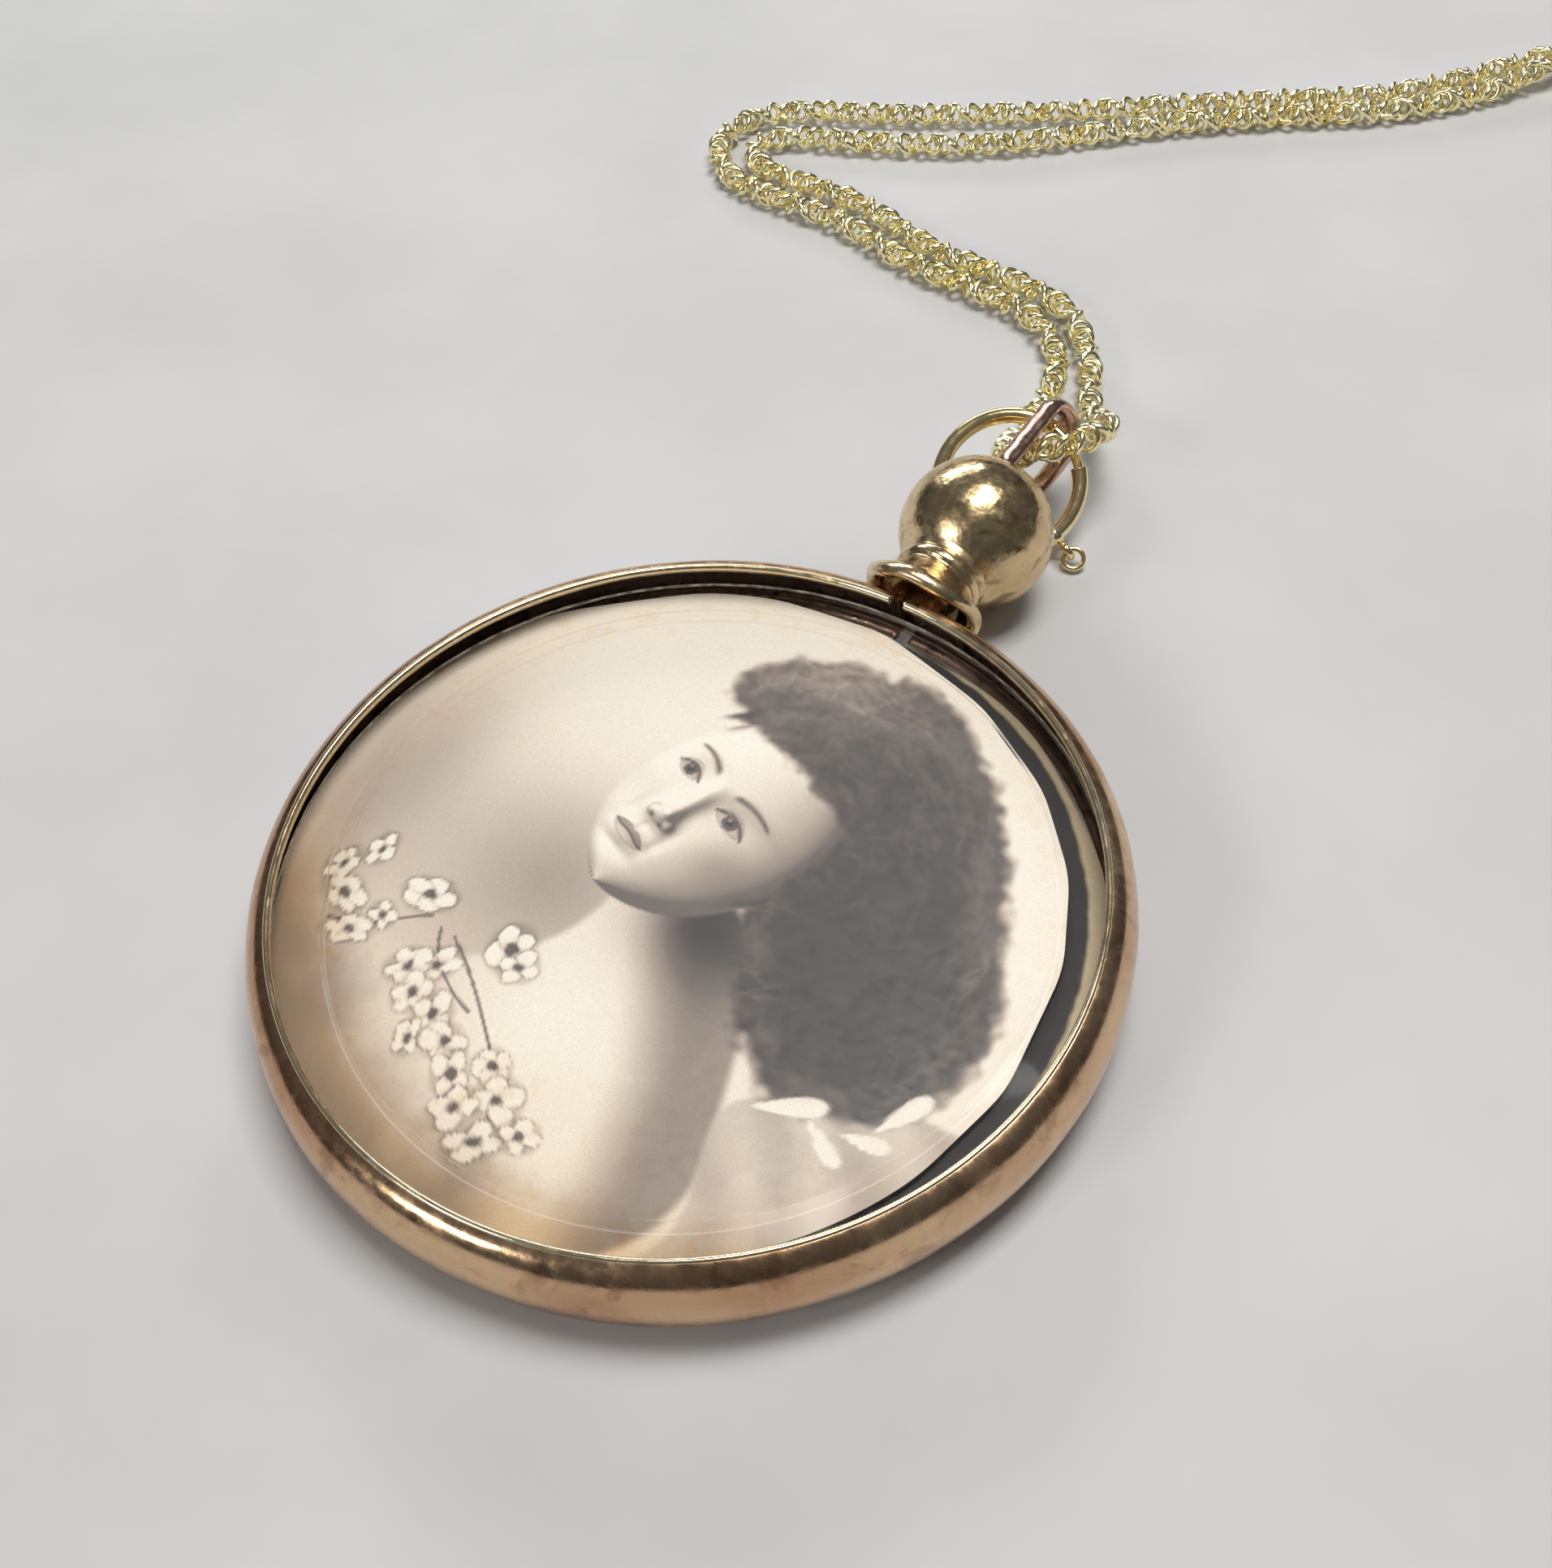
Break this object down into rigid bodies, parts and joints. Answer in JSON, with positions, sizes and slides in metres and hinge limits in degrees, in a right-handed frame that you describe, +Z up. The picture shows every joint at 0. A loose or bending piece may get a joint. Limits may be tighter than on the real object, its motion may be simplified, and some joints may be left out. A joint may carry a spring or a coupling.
{
  "type": "photo locket on a chain",
  "caption": "Round glass photo locket with a rolled gold rim, bevelled glass front and back, screw-off ball finial with long loop, bolt ring and doubled rope chain.",
  "frame": {"origin": "on the supporting surface, under the middle of the locket from the rim's far edge to the end of the long loop, chain left out", "axes": "+Y from the rim towards the finial and its loop, +Z up away from the supporting surface, +X to the right seen from above with the finial away from the viewer"},
  "size_m": [0.0686, 0.1239, 0.0078],
  "materials": {
    "rim_gold": "worn polish",
    "finial_gold": "worn polish with dents",
    "loop_gold": "worn polish",
    "ring_gold": "polished",
    "chain_gold": "polished",
    "spring_wire": "drawn wire",
    "glass": "clear, lightly scratched",
    "photo_card": "matt sepia print on card"
  },
  "bodies": {
    "rim": {"rim_channel": "rim_gold", "half_post_left": "rim_gold", "half_post_right": "rim_gold"},
    "front_glass_body": {"front_glass": "glass"},
    "back_glass_body": {"back_glass": "glass"},
    "pictures": {"front_photograph": "photo_card", "back_photograph": "photo_card"},
    "finial": {"ball_shell": "finial_gold", "flared_collar": "finial_gold", "threaded_bush": "finial_gold", "chain_loop": "loop_gold", "chain_strand_a": "chain_gold", "chain_strand_b": "chain_gold", "chain_coil_a": "chain_gold", "chain_coil_b": "chain_gold", "chain_end_a": "chain_gold", "chain_end_b": "chain_gold", "clasp_tube": "chain_gold", "clasp_spring": "spring_wire", "clasp_tag": "chain_gold", "end_ring_a": "chain_gold", "end_ring_b": "chain_gold"},
    "bail_ring": {"bail_ring_tube": "ring_gold", "bail_ring_tag": "ring_gold", "bail_ring_spring": "spring_wire"},
    "bail_tongue": {"bail_ring_tongue": "ring_gold", "bail_ring_knob": "ring_gold"},
    "tag_ring": {"tag_jump_ring": "ring_gold"},
    "clasp_tongue_body": {"clasp_tongue": "chain_gold", "clasp_knob": "chain_gold"}
  },
  "joints": [
    {"name": "finial_unscrew", "type": "slide", "parent": "rim", "child": "finial", "axis": [0, 0.9992, 0.0389], "range_m": [0, 0.0045]},
    {"name": "front_glass_turn", "type": "hinge", "parent": "rim", "child": "front_glass_body", "pos_m": [0, -0.00847, 0.00292], "axis": [0, -0.0389, 0.9992], "continuous": true},
    {"name": "back_glass_turn", "type": "hinge", "parent": "rim", "child": "back_glass_body", "pos_m": [0, -0.00847, 0.00292], "axis": [0, -0.0389, 0.9992], "continuous": true},
    {"name": "picture_turn", "type": "hinge", "parent": "rim", "child": "pictures", "pos_m": [0, -0.00847, 0.00292], "axis": [0, -0.0389, 0.9992], "continuous": true},
    {"name": "bolt_ring_spin", "type": "hinge", "parent": "finial", "child": "bail_ring", "pos_m": [-0.00108, 0.02268, 0.00254], "axis": [0.1681, -0.5364, 0.8271], "range_deg": [0, 50]},
    {"name": "bolt_ring_knob_pull", "type": "hinge", "parent": "bail_ring", "child": "bail_tongue", "pos_m": [-0.00108, 0.02268, 0.00254], "axis": [0.1681, -0.5364, 0.8271], "range_deg": [0, 36], "stiffness_Nm_per_rad": 0.002, "springref_deg": -28.65, "deforming": ["bail_ring_spring"]},
    {"name": "tag_ring_swing", "type": "hinge", "parent": "bail_ring", "child": "tag_ring", "pos_m": [0.0032, 0.02134, 0.0008], "axis": [0.4239, 0.7968, 0.4306], "range_deg": [-75, 0]},
    {"name": "clasp_knob_pull", "type": "hinge", "parent": "finial", "child": "clasp_tongue_body", "pos_m": [0.022, 0.08573, 0.0008], "axis": [-0.0924, -0.0336, 0.9952], "range_deg": [0, 34], "stiffness_Nm_per_rad": 0.001, "springref_deg": -28.65, "deforming": ["clasp_spring"]}
  ]
}
